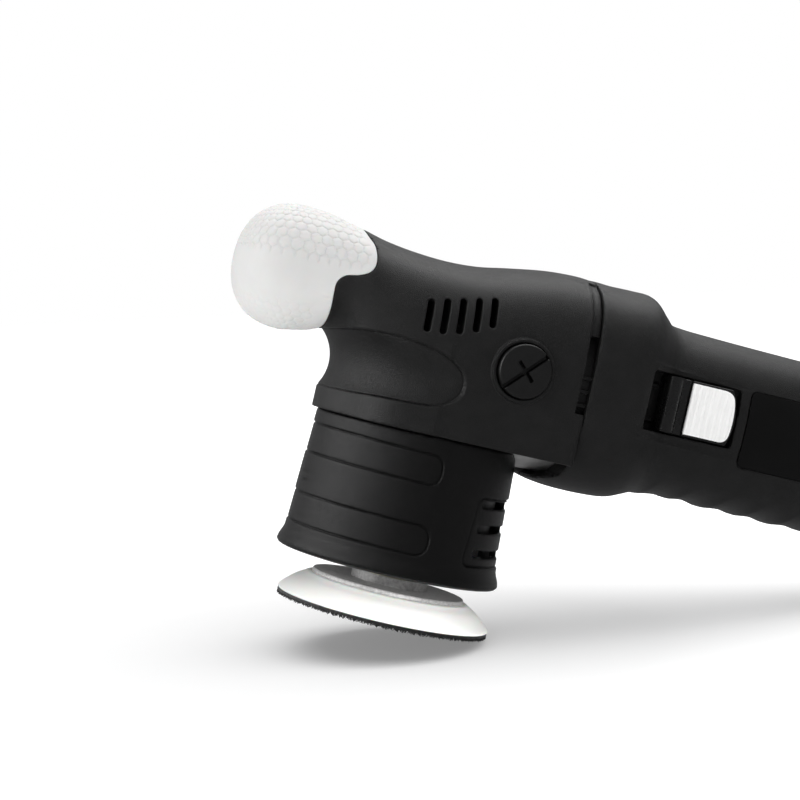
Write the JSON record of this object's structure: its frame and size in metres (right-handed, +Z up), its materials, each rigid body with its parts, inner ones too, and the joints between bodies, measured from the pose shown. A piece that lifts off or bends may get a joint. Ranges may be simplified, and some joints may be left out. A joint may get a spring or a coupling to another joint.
{
  "type": "dual action polisher",
  "caption": "Right-angle polisher with a barrel grip, a rubber-capped front knob, a slide switch, and a round pad that turns freely on a driven eccentric.",
  "frame": {"origin": "drive axis at the pad face", "axes": "+X back along the handle, +Z up along the drive axis away from the work, +Y to the left of a user behind the tool"},
  "size_m": [0.3244, 0.0841, 0.132],
  "materials": {
    "hook_fabric": "hook tape",
    "pu_foam": "moulded polyurethane",
    "grey_steel": "satin",
    "nylon": "moulded",
    "steel": "ground",
    "bearing_steel": "ground",
    "bearing_seal": "satin",
    "cast_aluminium": "cast and turned",
    "machined_steel": "turned",
    "bright_screws": "plated",
    "black_steel": "blackened",
    "gear_steel": "hardened",
    "shroud_plastic": "fine grain",
    "cover_plastic": "fine grain",
    "white_rubber": "soft touch",
    "core_steel": "laminated",
    "copper": "enamelled",
    "inner_plastic": "moulded",
    "brass": "drawn",
    "carbon": "pressed",
    "cap_plastic": "moulded",
    "label_film": "satin",
    "gloss_black": "polished",
    "white_plastic": "moulded",
    "circuit_resin": "potted",
    "gland_rubber": "moulded"
  },
  "bodies": {
    "housing": {"spindle_bearing_outer": "bearing_seal", "bearing_retainer": "cast_aluminium", "retainer_screws": "black_steel", "gear_case": "cast_aluminium", "shroud": "shroud_plastic", "shroud_screws": "black_steel", "head_cover": "cover_plastic", "front_grip": "white_rubber", "motor_barrel": "cast_aluminium", "stator_core": "core_steel", "field_coils": "copper", "motor_end_plate": "inner_plastic", "motor_screws": "black_steel", "motor_bearing_outer": "bearing_seal", "brush_holders": "brass", "carbon_brushes": "carbon", "brush_springs": "bearing_steel", "brush_cap_right": "cap_plastic", "brush_cap_left": "cap_plastic", "handle_right": "cover_plastic", "handle_left": "cover_plastic", "handle_screws": "black_steel", "label_plate_right": "label_film", "label_plate_left": "label_film", "switch_body": "inner_plastic", "speed_module": "circuit_resin", "terminal_block": "nylon", "cord_clamp": "inner_plastic", "clamp_screws": "bright_screws", "cord_gland": "gland_rubber"},
    "drive": {"eccentric_hub": "cast_aluminium", "counterweight": "machined_steel", "counterweight_screws": "bright_screws", "drive_spindle": "steel", "crown_gear": "gear_steel", "gear_nut": "black_steel", "spindle_bearing_inner": "bearing_steel", "pad_bearing_outer": "bearing_seal"},
    "pad": {"hook_face": "hook_fabric", "foam_pad": "pu_foam", "backing_disc": "grey_steel", "pad_hub": "grey_steel", "hub_washer": "nylon", "pad_spindle": "steel", "pad_bearing_inner": "bearing_steel", "bearing_circlip": "black_steel"},
    "armature": {"armature_shaft": "steel", "armature_core": "core_steel", "armature_windings": "copper", "commutator": "copper", "pinion": "gear_steel", "cooling_fan": "inner_plastic", "motor_bearing_inner": "bearing_steel"},
    "switch": {"switch_slider": "gloss_black", "switch_thumb_pad": "white_plastic", "switch_rod": "inner_plastic"},
    "dial": {"speed_dial": "inner_plastic"}
  },
  "joints": [
    {"name": "drive_spin", "type": "hinge", "parent": "housing", "child": "drive", "pos_m": [0, 0, 0.05], "axis": [0, 0, 1], "continuous": true},
    {"name": "armature_spin", "type": "hinge", "parent": "housing", "child": "armature", "pos_m": [0.05, 0, 0.0933], "axis": [1, 0, 0], "continuous": true},
    {"name": "pad_spin", "type": "hinge", "parent": "drive", "child": "pad", "pos_m": [0.00063, -0.00597, 0.02], "axis": [0, 0, 1], "continuous": true},
    {"name": "switch_slide", "type": "slide", "parent": "housing", "child": "switch", "axis": [-1, 0, 0], "range_m": [0, 0.006]},
    {"name": "dial_turn", "type": "hinge", "parent": "housing", "child": "dial", "pos_m": [0.214, 0, 0.1115], "axis": [0, 1, 0], "range_deg": [0, 270]}
  ],
  "couplings": [
    {"joint": "armature_spin", "follows": "drive_spin", "ratio": 3.1111}
  ]
}
